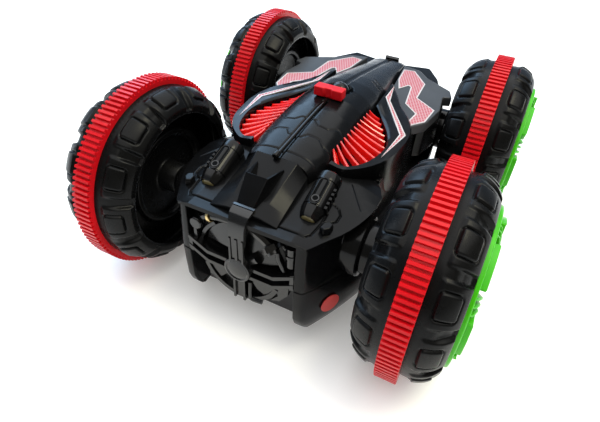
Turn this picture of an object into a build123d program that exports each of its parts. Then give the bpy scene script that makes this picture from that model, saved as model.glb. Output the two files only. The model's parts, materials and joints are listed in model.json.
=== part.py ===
from build123d import *
import os
from math import atan2, cos, degrees, pi, radians, sin

# All dimensions are in millimetres. The car stands on z = 0, its nose points to -Y
# and its own left side is +X.

# Wheels
WHEEL_RADIUS = 55.0
AXLE_HEIGHT = WHEEL_RADIUS
TRACK_HALF = 81.0
WHEELBASE_HALF = 70.0
RING_HALF_WIDTH = 5.0
RING_ROOT_RADIUS = 53.4
RING_BORE_RADIUS = 46.0
RING_TEETH = 116
RING_TOOTH_TIP = 1.3
RING_TOOTH_ROOT = 1.9
TYRE_REACH = 21.0
TYRE_WEB = 8.0
TREAD_NOTCHES = 12
NOTCH_WIDTH = 3.2
NOTCH_DEPTH = 2.6
HUB_RADIUS = 39.4
HUB_DEPTH = 2.4
HUB_COLLAR_RADIUS = 8.5
HUB_PADDLES = 12
PADDLE_REACH = 26.0
PADDLE_INNER = 13.0
PADDLE_OUTER = 36.0
PADDLE_THICKNESS = 1.8
AXLE_RADIUS = 2.5
AXLE_HEX = 2.4
AXLE_FIT = 0.05

# Gear trains, one per side
GEAR_MODULE = 1.0
GEAR_TEETH = 35
PINION_TEETH = 12
GEAR_X = 35.0
GEAR_WIDTH = 4.0
GEAR_PITCH_RADIUS = GEAR_MODULE * GEAR_TEETH / 2
PINION_PITCH_RADIUS = GEAR_MODULE * PINION_TEETH / 2
TOOTH_ADDENDUM = 0.85
TOOTH_DEDENDUM = 1.25
TOOTH_TIP_HALF = 0.28
TOOTH_PITCH_HALF = 0.62
TOOTH_ROOT_HALF = 0.9
PINION_ANGLE = -60.0
POST_RADIUS = 2.0
MOTOR_RADIUS = 10.0
MOTOR_LENGTH = 25.0
SHAFT_RADIUS = 1.0
CASE_INNER = 31.5
CASE_OUTER = 40.2
CASE_PLATE = 2.0

# Hull
WALL = 2.0
FLOOR_Z = 14.0
STAND_PAD = ((-32, 32), (68, 98), (13.6, 14.4))
CHINE_Z = 25.0
SEAM_Z = 47.0
DECK_Z = 77.0
FLOOR_EDGE = [(35, -99.5), (44.5, -79), (52.5, -56), (53, -30), (53, 30), (52.5, 56), (44.5, 84), (31, 109)]
CHINE_EDGE = [(34.3, -106.7), (46.5, -85), (54, -60), (54.5, -30), (54.5, 30), (54, 60), (46.5, 88),
              (31, 114)]
SEAM_EDGE = [(34.6, -107.5), (45.8, -88), (54.5, -62), (55.5, -30), (55.5, 30), (54.5, 62), (46, 90),
             (30.5, 117)]
DECK_EDGE = [(33.4, -107), (44.8, -88.8), (50.7, -64), (49, -38), (50, 20), (51, 62), (46, 90), (30, 116)]
HOOD_HALF = 30.0
HOOD_PROFILE = [(-106, 76.9), (-106, 77.5), (-56, 84.5), (-44, 84.5), (-44, 76.9)]

# Spine: each station is y, half-width at the base, half-width at the top, height of the top
SPINE_BASE = 77.0
SPINE_STATIONS = [
    (-71, 18, 12, 91.8),
    (-40, 22.5, 13, 95.5),
    (-10, 22.5, 13, 98.0),
    (30, 21, 11, 94.0),
    (62, 17.5, 9, 88.0),
    (105, 12, 6, 80.0),
]
SPINE_SKIN = 2.0

# Windows, frames, fenders and trim, drawn for the car's left side
WINDOW_EDGE = [(22.6, -55.2), (29.4, -55.1), (33.8, -51.5), (38.5, -41.3), (40.6, -26.8), (38.7, -18.5),
               (28.6, 1.3), (22.6, 10.8)]
FRAME_EDGE = [(22.6, -58.5), (31, -55), (46.4, -38.5), (48.8, -17.4), (48.5, -3), (39, 16), (22.6, 26)]
FRAME_TOP = 87.5
FENDER_EDGE = [(22, 36), (40, 20), (50.5, 22), (55, 40), (52, 60), (57, 62), (54, 72), (36, 85), (19, 87)]
FENDER_TOP = 82.0
FRAME_DECAL = [(27, -54), (31, -53.5), (45.4, -38), (47.7, -17), (47.3, -4), (41.5, 8), (43, -12), (41, -38)]
FENDER_DECAL = [(22, 84), (34, 75), (37.5, 49), (51.7, 38), (49.5, 24), (43, 24), (42, 30), (32.9, 38),
                (28, 63)]
DECAL_THICKNESS = 0.3
RIB_PITCH = 3.2
RIB_WIDTH = 1.4
RIB_TOP = 86.0

# Grilles at the nose and the tail
GRILLE_HALF = 26.5
GRILLE_LOW = 21.0
GRILLE_HIGH = 74.0
GRILLE_BACK = 100.0
NOSE_REACH = 109.5
TAIL_SHIFT = 8.0

# Power, control and fastening
POD_RADIUS = 5.8
POD_X = 27.0
POD_REAR = (-67.0, 86.2)
POD_FRONT = (-91.0, 77.8)
LENS_RADIUS = 4.2
LENS_DEPTH = 3.0
DOOR_HALF = 25.0
DOOR_Y = (-66.0, -2.0)
DOOR_Z = (12.0, 13.7)
BATTERY_SIZE = (40.0, 56.0, 16.0)
BATTERY_Y = -34.0
BOARD_Z = 66.0
BOARD_SPOTS = [(x, y) for x in (-27, 27) for y in (-50, -5)]
SCREW_SPOTS = [(-24, -93), (24, -93), (-24, 100), (24, 100)]
SCREW_SHANK = 1.3
SCREW_HEAD = 2.6


def polar(radius, angle):
    return (radius * cos(radians(angle)), radius * sin(radians(angle)))


def both_sides(edge):
    return edge + [(-x, y) for x, y in reversed(edge)]


def outline(points):
    return make_face(Polyline(*points, close=True))


def prism_z(points, low, high):
    return extrude(Pos(0, 0, low) * outline(points), high - low, dir=(0, 0, 1))


def prism_x(points, low, high):
    return extrude(Plane.YZ.offset(low) * outline(points), high - low, dir=(1, 0, 0))


def block(x_range, y_range, z_range):
    size = [high - low for low, high in (x_range, y_range, z_range)]
    middle = [(high + low) / 2 for low, high in (x_range, y_range, z_range)]
    return Pos(*middle) * Box(*size)


def rod_x(radius, low, high, y=0, z=0):
    return Pos((low + high) / 2, y, z) * Rot(0, 90, 0) * Cylinder(radius, high - low)


def rod_y(radius, low, high, x=0, z=0):
    return Pos(x, (low + high) / 2, z) * Rot(90, 0, 0) * Cylinder(radius, high - low)


def rod_z(radius, low, high, x=0, y=0):
    return Pos(x, y, (low + high) / 2) * Cylinder(radius, high - low)


def polygon_rod(radius, low, high, sides, y=0, z=0):
    corners = [polar(radius, 360 * k / sides) for k in range(sides)]
    return Pos(0, y, z) * prism_x(corners, low, high)


def frustum(low_edge, low, high_edge, high, inset=0.0):
    faces = []
    for edge, height in ((low_edge, low), (high_edge, high)):
        face = outline(both_sides(edge))
        if inset:
            face = offset(face, amount=-inset, kind=Kind.INTERSECTION)
        faces.append(Pos(0, 0, height) * face)
    return loft(faces, ruled=True)


def toothed_outline(count, root, tip, root_half, tip_half, phase=0.0):
    points = []
    for k in range(count):
        angle = phase + 360 * k / count
        for radius, half in ((root, -root_half), (tip, -tip_half), (tip, tip_half), (root, root_half)):
            points.append(polar(radius, angle + degrees(half / radius)))
    return points


# Wheels, drawn around the origin with the outboard side towards +X

def tread_ring():
    halves = (RING_TOOTH_ROOT / 2, RING_TOOTH_TIP / 2)
    teeth = toothed_outline(RING_TEETH, RING_ROOT_RADIUS, WHEEL_RADIUS, *halves)
    hoop = prism_x(teeth, -RING_HALF_WIDTH, RING_HALF_WIDTH)
    return hoop - rod_x(RING_BORE_RADIUS, -RING_HALF_WIDTH, RING_HALF_WIDTH)


def tyre_half(inboard):
    crown = [(RING_HALF_WIDTH, 51), (9, 50.3), (13, 49), (17, 46.6), (19.5, 44.2), (TYRE_REACH, 41)]
    lining = [(TYRE_REACH, 38.6), (19, 38.6), (19, 41.5), (17, 43.6), (13, 45.8), (TYRE_WEB, 46.4)]
    if inboard:
        web = [(TYRE_WEB, 28), (12, 28), (12, 25), (TYRE_WEB, 25), (TYRE_WEB, 9), (20, 9), (20, AXLE_RADIUS)]
    else:
        web = [(TYRE_WEB, AXLE_RADIUS)]
    section = outline(crown + lining + web + [(RING_HALF_WIDTH, AXLE_RADIUS)])
    tyre = revolve(section, Axis.X, 360)
    notch_floor = 46.6 - NOTCH_DEPTH
    notch = block((11, TYRE_REACH + 1), (-NOTCH_WIDTH / 2, NOTCH_WIDTH / 2), (notch_floor + 2.2, 56))
    for k in range(TREAD_NOTCHES):
        tyre -= Rot(360 * (k + 0.5) / TREAD_NOTCHES, 0, 0) * notch
    if inboard:
        tyre = mirror(tyre, about=Plane.YZ)
    return tyre


def paddle_hub():
    face = TYRE_REACH
    hub = rod_x(HUB_RADIUS, face, face + HUB_DEPTH)
    hub -= rod_x(HUB_RADIUS - 2, face + 1.6, face + HUB_DEPTH)
    hub += rod_x(HUB_COLLAR_RADIUS, face, face + HUB_DEPTH + 1)
    half = PADDLE_THICKNESS / 2
    paddle = block((face + 1, PADDLE_REACH), (-half, half), (PADDLE_INNER, PADDLE_OUTER))
    for k in range(HUB_PADDLES):
        hub += Rot(360 * k / HUB_PADDLES, 0, 0) * paddle
    socket = rod_x(AXLE_RADIUS, face, face + 1)
    return hub - socket


def wheel_axle():
    inner_end = CASE_INNER - TRACK_HALF
    bar = polygon_rod(AXLE_HEX, inner_end + 0.5, CASE_OUTER - TRACK_HALF, 6)
    return bar + rod_x(AXLE_RADIUS, CASE_OUTER - TRACK_HALF, TYRE_REACH + 1)


# Gears, drawn around the shaft with the train's left side at +X

def gear(count, phase=0.0):
    pitch = GEAR_MODULE * count / 2
    points = []
    for k in range(count):
        angle = phase + 360 * k / count
        flank = [(pitch - TOOTH_DEDENDUM, TOOTH_ROOT_HALF), (pitch, TOOTH_PITCH_HALF)]
        flank.append((pitch + TOOTH_ADDENDUM, TOOTH_TIP_HALF))
        points += [polar(radius, angle - degrees(half / radius)) for radius, half in flank]
        points += [polar(radius, angle + degrees(half / radius)) for radius, half in reversed(flank)]
    return prism_x(points, GEAR_X, GEAR_X + GEAR_WIDTH)


def wheel_gear():
    return gear(GEAR_TEETH) - polygon_rod(AXLE_HEX, GEAR_X, GEAR_X + GEAR_WIDTH, 6)


def free_gear():
    return gear(GEAR_TEETH) - rod_x(POST_RADIUS + AXLE_FIT, GEAR_X, GEAR_X + GEAR_WIDTH)


def pinion_spot():
    reach = GEAR_PITCH_RADIUS + PINION_PITCH_RADIUS
    y, rise = polar(reach, PINION_ANGLE)
    return y, AXLE_HEIGHT + rise


def motor_pinion():
    tooth_pitch = 360 / GEAR_TEETH
    lead = round(PINION_ANGLE / tooth_pitch) * tooth_pitch - PINION_ANGLE
    gap = PINION_ANGLE + 180 - lead * GEAR_TEETH / PINION_TEETH
    pinion = gear(PINION_TEETH, gap + 180 / PINION_TEETH)
    return pinion + rod_x(SHAFT_RADIUS, CASE_INNER - 5, GEAR_X)


def gear_case():
    edge = [(-84, 66), (-78, 74), (78, 74), (84, 66), (84, 40), (60, 36), (60, 16), (45, 16), (45, 36),
            (24, 36), (24, 22), (-1, 22), (-1, 36), (-45, 36), (-45, 16), (-60, 16), (-60, 36), (-84, 40)]
    case = prism_x(edge, CASE_INNER, CASE_INNER + CASE_PLATE)
    case += prism_x(edge, CASE_OUTER, CASE_OUTER + CASE_PLATE)
    for y in (-WHEELBASE_HALF / 2, 0, WHEELBASE_HALF / 2):
        case += rod_x(POST_RADIUS, CASE_INNER + 1, CASE_OUTER + 1, y, AXLE_HEIGHT)
    for y in (-0.75 * WHEELBASE_HALF, 0.75 * WHEELBASE_HALF):
        for z in (AXLE_HEIGHT - 16, AXLE_HEIGHT + 16):
            case += block((CASE_INNER + 1, CASE_OUTER + 1), (y - 2, y + 2), (z - 2, z + 2))
    for y in (-WHEELBASE_HALF, WHEELBASE_HALF):
        case -= rod_x(AXLE_RADIUS + 1.2, CASE_INNER - 1, CASE_OUTER + 3, y, AXLE_HEIGHT)
    shaft_y, shaft_z = pinion_spot()
    case -= rod_x(SHAFT_RADIUS + 1, CASE_INNER - 1, CASE_INNER + 3, shaft_y, shaft_z)
    return case


def motor():
    y, z = pinion_spot()
    can = rod_x(MOTOR_RADIUS, CASE_INNER - MOTOR_LENGTH, CASE_INNER, y, z)
    can += rod_x(4, CASE_INNER - MOTOR_LENGTH - 2, CASE_INNER - MOTOR_LENGTH, y, z)
    return can - rod_x(SHAFT_RADIUS + 0.3, CASE_INNER - 6, CASE_INNER, y, z)


# Hull

def axle_collars():
    collars = []
    for side in (-1, 1):
        for y in (-WHEELBASE_HALF, WHEELBASE_HALF):
            collar = rod_x(16, 43, 51, 0, 0) + rod_x(13.5, 51, 57, 0, 0)
            collar -= rod_x(AXLE_RADIUS + AXLE_FIT, 42, 58, 0, 0)
            if side < 0:
                collar = mirror(collar, about=Plane.YZ)
            collars.append(Pos(0, y, AXLE_HEIGHT) * collar)
    return collars


def collar_holes():
    holes = []
    for y in (-WHEELBASE_HALF, WHEELBASE_HALF):
        holes.append(rod_x(16.1, 42, 60, y, AXLE_HEIGHT))
        holes.append(rod_x(16.1, -60, -42, y, AXLE_HEIGHT))
    return holes


def grille_pockets():
    nose = block((-GRILLE_HALF, GRILLE_HALF), (-130, -GRILLE_BACK), (GRILLE_LOW, GRILLE_HIGH))
    tail = block((-GRILLE_HALF, GRILLE_HALF), (GRILLE_BACK + TAIL_SHIFT, 130), (GRILLE_LOW, GRILLE_HIGH))
    return [nose, tail]


def bottom_shell():
    hull = frustum(FLOOR_EDGE, FLOOR_Z, CHINE_EDGE, CHINE_Z)
    hull += frustum(CHINE_EDGE, CHINE_Z, SEAM_EDGE, SEAM_Z)
    hollow = frustum(FLOOR_EDGE, FLOOR_Z + WALL, CHINE_EDGE, CHINE_Z, WALL)
    hollow += frustum(CHINE_EDGE, CHINE_Z, SEAM_EDGE, SEAM_Z, WALL)
    hull -= hollow
    for x, y in SCREW_SPOTS:
        hull += rod_z(4.5, FLOOR_Z + 1, SEAM_Z, x, y)
    for x, y in SCREW_SPOTS:
        hull -= rod_z(SCREW_SHANK, FLOOR_Z, SEAM_Z, x, y) + rod_z(SCREW_HEAD + 0.3, FLOOR_Z, 30, x, y)
    hull -= block((-21, 21), (-63, -5), (FLOOR_Z, FLOOR_Z + WALL))
    for side in (-1, 1):
        rail = sorted((side * (DOOR_HALF + 0.3), side * (DOOR_HALF + 2.5)))
        lip = sorted((side * (DOOR_HALF - 2), side * (DOOR_HALF + 2.5)))
        hull += block(rail, DOOR_Y, (DOOR_Z[0] - 1.3, FLOOR_Z))
        hull += block(lip, DOOR_Y, (DOOR_Z[0] - 1.3, DOOR_Z[0] - 0.3))
    hull += block(*STAND_PAD)
    for cut in collar_holes() + grille_pockets():
        hull -= cut
    return hull


def spine_solid(skin=0.0):
    faces = []
    for y, base, top, height in SPINE_STATIONS:
        low = SPINE_BASE - (1 if skin else 0)
        high = height - skin
        shoulder = SPINE_BASE + 0.62 * (height - SPINE_BASE) - skin / 2
        half = [(base - skin, low), (base - skin, shoulder), (top - skin / 2, high)]
        points = half + [(-x, z) for x, z in reversed(half)]
        corners = [(x, y, z) for x, z in points]
        faces.append(Face(Wire(Polyline(*corners, close=True))))
    return loft(faces, ruled=True)


def spine_rod_line():
    start = Vector(0, -75, 93.2)
    end = Vector(0, -16, 98.4)
    return start, end


def rod_between(start, end, radius):
    line = end - start
    bar = Solid.make_cylinder(radius, line.length, Plane(origin=start, z_dir=line))
    return Part() + bar


def spine_cover():
    cover = spine_solid() - spine_solid(SPINE_SKIN)
    start, end = spine_rod_line()
    cover += rod_between(Vector(0, -71, 91.6), Vector(0, -20, 95.8), 3.0) & spine_solid()
    cover += Pos(0, 6, 96.2) * Sphere(3.2)
    cover -= rod_between(start, end, 1.6)
    cover -= block((-3.6, 3.6), (-13.5, -4.0), (80, 110))
    return cover


def spine_rod():
    start, end = spine_rod_line()
    rod = rod_between(start, end + (start - end).normalized() * 1.0, 1.3)
    return rod + Pos(*start) * Sphere(2.4)


def power_switch():
    cap = fillet(block((-8.5, 8.5), (-14, -7.5), (98.5, 104)).edges(), 1.4)
    return cap + block((-2.5, 2.5), (-12.4, -9), (72, 100))


def window_frame():
    frame = prism_z(FRAME_EDGE, DECK_Z, FRAME_TOP) - prism_z(WINDOW_EDGE, DECK_Z, FRAME_TOP)
    upper = frame.faces().filter_by(Axis.Z).sort_by(Axis.Z)[-1]
    outer_edges = [edge for edge in upper.edges() if edge.center().X > 40]
    return chamfer(outer_edges, 1.5)


def radiator():
    core = prism_z(WINDOW_EDGE, DECK_Z, DECK_Z + 2.5)
    ribs = [block((22.6, 41), (y, y + RIB_WIDTH), (DECK_Z + 1, RIB_TOP))
            for y in [-53 + RIB_PITCH * k for k in range(20)]]
    blades = Part() + ribs
    return core + (blades & prism_z(WINDOW_EDGE, DECK_Z, RIB_TOP))


def rear_fender():
    plate = prism_z(FENDER_EDGE, DECK_Z, FENDER_TOP)
    slot = block((26, 38), (40, 44), (DECK_Z + 2, FENDER_TOP))
    return plate - slot


def pod_axis():
    rear = Vector(POD_X, *POD_REAR)
    front = Vector(POD_X, *POD_FRONT)
    return rear, front


def headlamp_pod(solid=False):
    rear, front = pod_axis()
    tube = rod_between(rear, front, POD_RADIUS)
    if solid:
        return tube
    inward = (rear - front).normalized()
    tube -= rod_between(front + inward * LENS_DEPTH, front - inward, LENS_RADIUS)
    middle = (rear + front) * 0.5
    slot_tilt = degrees(atan2(POD_REAR[1] - POD_FRONT[1], POD_REAR[0] - POD_FRONT[0]))
    slot = Pos(*middle) * Rot(slot_tilt, 0, 0) * Pos(0, 0, POD_RADIUS) * Box(4, 11, 3)
    return tube - slot


def lamp_lens():
    rear, front = pod_axis()
    inward = (rear - front).normalized()
    return rod_between(front + inward * LENS_DEPTH, front + inward * 0.4, LENS_RADIUS)


def nose_clip():
    stations = [(-105, 9, 7, 79), (-100.8, 11, 4.5, 82.6), (-90.6, 13, 5.8, 92.8), (-78, 10, 7, 89.6)]
    faces = []
    for y, base, top, height in stations:
        corners = [(base, y, DECK_Z), (top, y, height), (-top, y, height), (-base, y, DECK_Z)]
        faces.append(Face(Wire(Polyline(*corners, close=True))))
    wedge = loft(faces, ruled=True)
    notch = prism_z([(0, -88), (5, -77), (-5, -77)], 80, 95)
    return wedge - notch


def grille():
    bars = block((-GRILLE_HALF, GRILLE_HALF), (-GRILLE_BACK - 2, -GRILLE_BACK), (GRILLE_LOW, GRILLE_HIGH))
    front = -GRILLE_BACK - 1
    bars += block((-5, 5), (-NOSE_REACH + 3, front), (GRILLE_LOW, GRILLE_HIGH))
    bars += rod_y(6.8, -NOSE_REACH, front, 0, 48)
    for side in (-1, 1):
        for height in (49.5, 54):
            start = Vector(side * 5, front - 2, height - 1.5)
            end = Vector(side * (GRILLE_HALF - 1.8), front - 2, height)
            bars += rod_between(start, end, 1.5)
        arch = Pos(side * 11, front - 1.5, 58) * Rot(90, 0, 0) * Torus(11, 2.2)
        keep = block(sorted((side * 4, side * GRILLE_HALF)), (-115, front), (58, GRILLE_HIGH))
        bars += arch & keep
        bars += block(sorted((side * 8, side * 22)), (front - 3, front), (26, 29))
        bars += prism_gusset(side, front)
    nut = Pos(-21, front - 1, 66) * Rot(90, 0, 0) * extrude(RegularPolygon(3, 6), 2.4, both=True)
    piston = rod_z(2.6, 62, 73, 18, front - 2.5)
    return bars + (nut & block((-30, 30), (-112, front + 0.5), (50, 80))) + piston


def prism_gusset(side, front):
    corners = [(side * 5, 24), (side * 9, 24), (side * 20, 38), (side * 17, 40)]
    face = Plane.XZ.offset(-front) * outline(corners)
    return extrude(face, 3, dir=(0, -1, 0))


def tail_grille():
    return Pos(0, TAIL_SHIFT, 0) * mirror(grille(), about=Plane.XZ)


def top_shell(neighbours):
    shell = frustum(SEAM_EDGE, SEAM_Z, DECK_EDGE, DECK_Z)
    hollow = frustum(SEAM_EDGE, SEAM_Z, DECK_EDGE, DECK_Z, 2 * WALL)
    shell -= hollow & block((-80, 80), (-130, 130), (SEAM_Z, DECK_Z - WALL))
    for x, y in SCREW_SPOTS:
        shell += rod_z(4, SEAM_Z, DECK_Z - 1, x, y)
    for x, y in BOARD_SPOTS:
        shell += rod_z(2.5, BOARD_Z + 1.6, DECK_Z - 1, x, y)
    shell += prism_x(HOOD_PROFILE, -HOOD_HALF, HOOD_HALF)
    for x, y in SCREW_SPOTS:
        shell -= rod_z(SCREW_SHANK, SEAM_Z, 60, x, y)
    shell -= block((-12, 12), (-60, 60), (DECK_Z - WALL - 1, DECK_Z + 0.5))
    for cut in collar_holes() + grille_pockets() + neighbours:
        shell -= cut
    return shell


def shell_screws():
    screws = []
    for x, y in SCREW_SPOTS:
        screws.append(rod_z(SCREW_SHANK, 30, 60, x, y) + rod_z(SCREW_HEAD, 28, 30, x, y))
    return screws


def battery_pack():
    width, length, height = BATTERY_SIZE
    bottom = FLOOR_Z + 0.4
    y_range = (BATTERY_Y - length / 2, BATTERY_Y + length / 2)
    pack = block((-width / 2, width / 2), y_range, (bottom, bottom + height))
    return fillet(pack.edges().filter_by(Axis.Y), 4)


def battery_door():
    door = block((-DOOR_HALF, DOOR_HALF), DOOR_Y, DOOR_Z)
    for k in range(3):
        door += block((-8, 8), (-10 - 3 * k, -8.8 - 3 * k), (DOOR_Z[0] - 0.8, DOOR_Z[0]))
    return door


def circuit_board():
    board = block((-29.5, 29.5), (-54, -1), (BOARD_Z, BOARD_Z + 1.6))
    parts = [((-5, 5), (-14, -7), 4.0), ((-20, -8), (-42, -30), 1.6), ((8, 16), (-40, -32), 1.6),
             ((12, 24), (-22, -17), 3.0)]
    for x_range, y_range, height in parts:
        board += block(x_range, y_range, (BOARD_Z + 1.6, BOARD_Z + 1.6 + height))
    return board


def round_sticker():
    edge_angle = degrees(atan2(21.7, 12.2))
    disc = Cylinder(5.5, DECAL_THICKNESS)
    return Pos(43.2, -92.5, 31) * Rot(0, 0, edge_angle - 90) * Rot(0, 90, 0) * disc


def body_decals():
    decals = []
    for edge, height in ((FRAME_DECAL, FRAME_TOP), (FENDER_DECAL, FENDER_TOP)):
        decal = prism_z(edge, height, height + DECAL_THICKNESS)
        decals += [decal, mirror(decal, about=Plane.YZ)]
    return decals


nodes = {}
for end_name, end in (("front", -1), ("rear", 1)):
    for side_name, side in (("left", 1), ("right", -1)):
        wheel = {
            "inner_tyre": tyre_half(True),
            "outer_tyre": tyre_half(False),
            "tread_ring": tread_ring(),
            "paddle_hub": paddle_hub(),
            "axle": wheel_axle(),
            "axle_gear": Pos(-TRACK_HALF, 0, 0) * wheel_gear(),
        }
        for name, solid in wheel.items():
            placed = Pos(TRACK_HALF, end * WHEELBASE_HALF, AXLE_HEIGHT) * solid
            if side < 0:
                placed = mirror(placed, about=Plane.YZ)
            nodes[f"{end_name}_{side_name}_{name}"] = placed

pinion_y, pinion_z = pinion_spot()
one_side = {
    "front_idler_gear": Pos(0, -WHEELBASE_HALF / 2, AXLE_HEIGHT) * free_gear(),
    "centre_gear": Pos(0, 0, AXLE_HEIGHT) * free_gear(),
    "rear_idler_gear": Pos(0, WHEELBASE_HALF / 2, AXLE_HEIGHT) * free_gear(),
    "motor_pinion": Pos(0, pinion_y, pinion_z) * motor_pinion(),
    "gear_case": gear_case(),
    "motor": motor(),
    "window_frame": window_frame(),
    "radiator": radiator(),
    "rear_fender": rear_fender(),
    "headlamp_pod": headlamp_pod(),
}
for name, solid in one_side.items():
    nodes[f"left_{name}"] = solid
    nodes[f"right_{name}"] = mirror(solid, about=Plane.YZ)

lens = lamp_lens()
pod = headlamp_pod(solid=True)
clip = nose_clip()
hood = prism_x(HOOD_PROFILE, -HOOD_HALF, HOOD_HALF)
spine = spine_solid()
frames = [window_frame(), prism_z(WINDOW_EDGE, DECK_Z, RIB_TOP)]
seats = frames + [mirror(frame, about=Plane.YZ) for frame in frames]

nodes["nose_clip"] = clip - hood
nodes["top_shell"] = top_shell([pod, mirror(pod, about=Plane.YZ), spine] + seats)
nodes["bottom_shell"] = bottom_shell()
nodes["spine_cover"] = spine_cover()
nodes["spine_rod"] = spine_rod()
nodes["power_switch"] = power_switch()
nodes["nose_grille"] = grille()
nodes["tail_grille"] = tail_grille()
nodes["axle_collars"] = axle_collars()
nodes["shell_screws"] = shell_screws()
nodes["lamp_lenses"] = [lens, mirror(lens, about=Plane.YZ)]
nodes["battery_pack"] = battery_pack()
nodes["battery_door"] = battery_door()
nodes["circuit_board"] = circuit_board()
nodes["round_sticker"] = round_sticker()
nodes["body_decals"] = body_decals()

os.makedirs("parts", exist_ok=True)
for name, solid in nodes.items():
    if isinstance(solid, list):
        solid = Compound(children=[piece for item in solid for piece in item.solids()])
    export_step(solid, f"parts/{name}.step")
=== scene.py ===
import json
from math import atan2, cos, exp, hypot, pi, radians, sin

import bpy
from mathutils import Matrix, Vector


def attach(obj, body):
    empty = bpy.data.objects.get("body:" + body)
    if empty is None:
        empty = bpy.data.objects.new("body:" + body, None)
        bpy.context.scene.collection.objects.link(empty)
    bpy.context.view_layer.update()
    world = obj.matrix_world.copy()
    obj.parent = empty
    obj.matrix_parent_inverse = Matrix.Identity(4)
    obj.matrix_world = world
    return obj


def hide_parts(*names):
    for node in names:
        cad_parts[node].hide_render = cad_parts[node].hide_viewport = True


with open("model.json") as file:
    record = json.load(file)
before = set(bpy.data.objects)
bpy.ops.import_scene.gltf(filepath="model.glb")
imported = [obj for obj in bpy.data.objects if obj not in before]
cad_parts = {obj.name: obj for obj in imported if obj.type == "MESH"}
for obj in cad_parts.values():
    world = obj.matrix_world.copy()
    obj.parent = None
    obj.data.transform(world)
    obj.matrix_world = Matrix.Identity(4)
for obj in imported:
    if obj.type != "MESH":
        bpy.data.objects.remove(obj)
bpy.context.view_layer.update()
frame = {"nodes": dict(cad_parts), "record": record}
nodes = frame["nodes"]

MM = 0.001
WHEEL_Z = 55.0
TRACK = 81.0
BASE = 70.0
SIDES = (("left", 1), ("right", -1))
ENDS = (("front", -1), ("rear", 1))


# ---------------------------------------------------------------- materials

def node(tree, kind, x=0, y=0, **values):
    made = tree.nodes.new(kind)
    made.location = (x, y)
    for key, value in values.items():
        setattr(made, key, value)
    return made


def plastic(name, color, rough, vary=0.25, grain=900.0, bump=0.12, coat=0.0, haze=0.06, scuff=0.0, gleam=0.5):
    """Moulded plastic: slow colour and gloss variation, fine mould grain, light scuffs."""
    mat = bpy.data.materials.new(name)
    mat.use_nodes = True
    tree = mat.node_tree
    shader = tree.nodes["Principled BSDF"]
    shader.inputs["Coat Weight"].default_value = coat
    shader.inputs["Specular IOR Level"].default_value = gleam
    shader.inputs["Coat Roughness"].default_value = 0.12
    coord = node(tree, "ShaderNodeTexCoord", -1200, 0)
    slow = node(tree, "ShaderNodeTexNoise", -1000, 200)
    slow.inputs["Scale"].default_value = 42.0
    slow.inputs["Detail"].default_value = 4.0
    fine = node(tree, "ShaderNodeTexNoise", -1000, -200)
    fine.inputs["Scale"].default_value = grain
    fine.inputs["Detail"].default_value = 3.0
    streak = node(tree, "ShaderNodeTexNoise", -1000, -500)
    streak.inputs["Scale"].default_value = 130.0
    streak.inputs["Detail"].default_value = 8.0
    streak.inputs["Roughness"].default_value = 0.75
    for texture in (slow, fine, streak):
        tree.links.new(coord.outputs["Object"], texture.inputs["Vector"])
    ramp = node(tree, "ShaderNodeValToRGB", -700, 200)
    dark = [c * (1 - vary) for c in color]
    pale = [min(1.0, c * (1 + vary)) for c in color]
    ramp.color_ramp.elements[0].position = 0.3
    ramp.color_ramp.elements[0].color = (*dark, 1)
    ramp.color_ramp.elements[1].position = 0.72
    ramp.color_ramp.elements[1].color = (*pale, 1)
    tree.links.new(slow.outputs["Fac"], ramp.inputs["Fac"])
    tree.links.new(ramp.outputs["Color"], shader.inputs["Base Color"])
    gloss = node(tree, "ShaderNodeMapRange", -700, -450)
    gloss.inputs["From Min"].default_value = 0.3
    gloss.inputs["From Max"].default_value = 0.75
    gloss.inputs["To Min"].default_value = max(0.03, rough - haze)
    gloss.inputs["To Max"].default_value = min(1.0, rough + haze + scuff)
    tree.links.new(streak.outputs["Fac"], gloss.inputs["Value"])
    tree.links.new(gloss.outputs["Result"], shader.inputs["Roughness"])
    relief = node(tree, "ShaderNodeBump", -400, -200)
    relief.inputs["Strength"].default_value = bump
    relief.inputs["Distance"].default_value = 0.0001
    tree.links.new(fine.outputs["Fac"], relief.inputs["Height"])
    tree.links.new(relief.outputs["Normal"], shader.inputs["Normal"])
    return mat


def metal(name, color, rough):
    mat = plastic(name, color, rough, vary=0.12, grain=500.0, bump=0.15)
    tree = mat.node_tree
    shader = tree.nodes["Principled BSDF"]
    shader.inputs["Metallic"].default_value = 1.0
    return mat


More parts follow.
